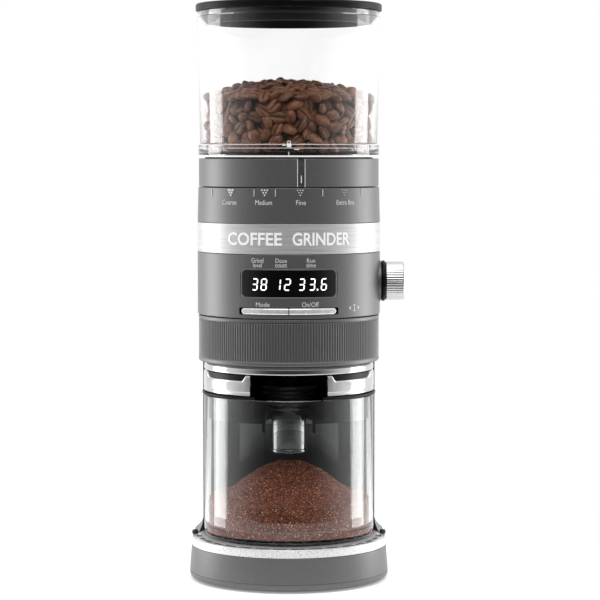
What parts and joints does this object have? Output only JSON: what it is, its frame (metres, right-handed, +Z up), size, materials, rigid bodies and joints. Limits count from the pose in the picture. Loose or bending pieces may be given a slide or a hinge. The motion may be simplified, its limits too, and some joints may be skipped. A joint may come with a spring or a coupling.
{
  "type": "burr coffee grinder",
  "caption": "Tall electric burr coffee grinder with a clear bean hopper, turning grind collar, display and buttons, portafilter arms and a glass jar for the grounds, on a round-fronted base",
  "frame": {"origin": "on the burr and jar axis, at the surface the foot ring stands on", "axes": "+Z up along the burr axis, -Y towards the user, +X to the side with the knob"},
  "size_m": [0.1498, 0.2011, 0.4],
  "materials": {
    "grey_shell": "satin dark silver paint",
    "collar_paint": "satin dark silver paint",
    "brushed_band": "brushed round the band",
    "polished_steel": "polished",
    "machined_steel": "machined",
    "bright_knob": "fluted and polished",
    "black_plastic": "fine moulded grain",
    "gloss_black": "glossy",
    "silver_plastic": "metallised",
    "black_rubber": "matt",
    "clear_plastic": "clear moulded plastic",
    "clear_glass": "clear",
    "bean": "roasted coffee beans, slightly oily",
    "grounds": "ground coffee, granular",
    "cast_alloy": "die cast",
    "circuit": "solder mask",
    "copper_steel": "laminations and windings",
    "magnet": "sintered ferrite",
    "bearing_steel": "ground",
    "gear_plastic": "moulded acetal"
  },
  "bodies": {
    "housing": {"foot_ring": "black_rubber", "base_plate": "grey_shell", "base_shell": "grey_shell", "base_screws": "machined_steel", "cord_gland": "black_rubber", "column_shell": "grey_shell", "column_strip": "grey_shell", "strip_bar": "polished_steel", "power_board": "circuit", "motor_can": "machined_steel", "motor_magnets": "magnet", "gearbox_plate": "cast_alloy", "gearbox_cover": "cast_alloy", "gearbox_screws": "machined_steel", "idler_pin": "bearing_steel", "shaft_bearings": "bearing_steel", "grinding_chamber": "black_plastic", "grind_chute": "black_plastic", "head_core": "black_plastic", "head_floor": "black_plastic", "trim_ring": "polished_steel", "arm_pins": "machined_steel", "control_shell": "grey_shell", "steel_band": "brushed_band", "scale_ring": "grey_shell", "head_frame": "black_plastic", "display_lens": "gloss_black", "display_module": "gloss_black", "control_board": "circuit", "encoder": "black_plastic"},
    "tray": {"drip_tray": "polished_steel"},
    "collar": {"grind_collar": "collar_paint", "pointer_window": "clear_plastic"},
    "burr_carrier": {"ring_burr_carrier": "black_plastic", "ring_burr": "machined_steel"},
    "drive_shaft": {"burr_shaft": "machined_steel", "cone_burr": "machined_steel", "grind_impeller": "black_plastic", "driven_gear": "gear_plastic", "burr_nut": "machined_steel"},
    "idler": {"idler_gear": "gear_plastic"},
    "rotor": {"motor_armature": "copper_steel", "motor_pinion": "machined_steel"},
    "bean_hopper": {"hopper": "clear_plastic", "coffee_beans": "bean"},
    "lid": {"hopper_lid": "black_plastic", "lid_seal": "black_rubber"},
    "knob": {"control_knob": "bright_knob"},
    "mode_key": {"mode_button": "silver_plastic"},
    "start_key": {"start_button": "silver_plastic"},
    "holder": {"holder_ring": "grey_shell"},
    "left_holder_arm": {"left_arm": "polished_steel", "left_arm_carrier": "black_plastic"},
    "right_holder_arm": {"right_arm": "polished_steel", "right_arm_carrier": "black_plastic"},
    "jar": {"glass_jar": "clear_glass", "jar_lid": "black_plastic", "chute_boot": "black_rubber", "drop_tube": "clear_plastic", "ground_coffee": "grounds"}
  },
  "joints": [
    {"name": "tray_slide", "type": "slide", "parent": "housing", "child": "tray", "axis": [0, -1, 0], "range_m": [0, 0.13]},
    {"name": "grind_adjust", "type": "hinge", "parent": "housing", "child": "collar", "pos_m": [0, 0, 0.2835], "axis": [0, 0, 1], "range_deg": [-65.8, 45.5]},
    {"name": "burr_height", "type": "slide", "parent": "collar", "child": "burr_carrier", "axis": [0, 0, 1], "range_m": [-0.00042, 0.00058]},
    {"name": "burr_spin", "type": "hinge", "parent": "housing", "child": "drive_shaft", "pos_m": [0, 0, 0.21], "axis": [0, 0, 1], "continuous": true},
    {"name": "idler_spin", "type": "hinge", "parent": "housing", "child": "idler", "pos_m": [0, 0.055, 0.1945], "axis": [0, 0, 1], "continuous": true},
    {"name": "rotor_spin", "type": "hinge", "parent": "housing", "child": "rotor", "pos_m": [0, 0.0915, 0.15], "axis": [0, 0, 1], "continuous": true},
    {"name": "hopper_lift", "type": "slide", "parent": "collar", "child": "bean_hopper", "axis": [0, 0, 1], "range_m": [0, 0.1]},
    {"name": "lid_lift", "type": "slide", "parent": "bean_hopper", "child": "lid", "axis": [0, 0, 1], "range_m": [0, 0.06]},
    {"name": "knob_turn", "type": "hinge", "parent": "housing", "child": "knob", "pos_m": [0.073, 0, 0.2082], "axis": [1, 0, 0], "continuous": true},
    {"name": "mode_press", "type": "slide", "parent": "housing", "child": "mode_key", "axis": [0, 1, 0], "range_m": [0, 0.001], "stiffness_N_per_m": 600},
    {"name": "start_press", "type": "slide", "parent": "housing", "child": "start_key", "axis": [0, 1, 0], "range_m": [0, 0.001], "stiffness_N_per_m": 600},
    {"name": "holder_turn", "type": "hinge", "parent": "housing", "child": "holder", "pos_m": [0, 0, 0.169], "axis": [0, 0, 1], "range_deg": [0, 36]},
    {"name": "left_arm_swing", "type": "hinge", "parent": "housing", "child": "left_holder_arm", "pos_m": [-0.047, 0.022, 0.14], "axis": [0, 0, 1], "range_deg": [0, 3.2]},
    {"name": "right_arm_swing", "type": "hinge", "parent": "housing", "child": "right_holder_arm", "pos_m": [0.047, 0.022, 0.14], "axis": [0, 0, -1], "range_deg": [0, 3.2]},
    {"name": "jar_slide", "type": "slide", "parent": "housing", "child": "jar", "axis": [0, -1, 0], "range_m": [0, 0.15]}
  ],
  "couplings": [
    {"joint": "burr_height", "follows": "grind_adjust", "m_per_rad": -0.00046},
    {"joint": "idler_spin", "follows": "burr_spin", "ratio": -0.89655},
    {"joint": "rotor_spin", "follows": "burr_spin", "ratio": 3.4667},
    {"joint": "left_arm_swing", "follows": "holder_turn", "ratio": 0.088889},
    {"joint": "right_arm_swing", "follows": "holder_turn", "ratio": 0.088889}
  ]
}
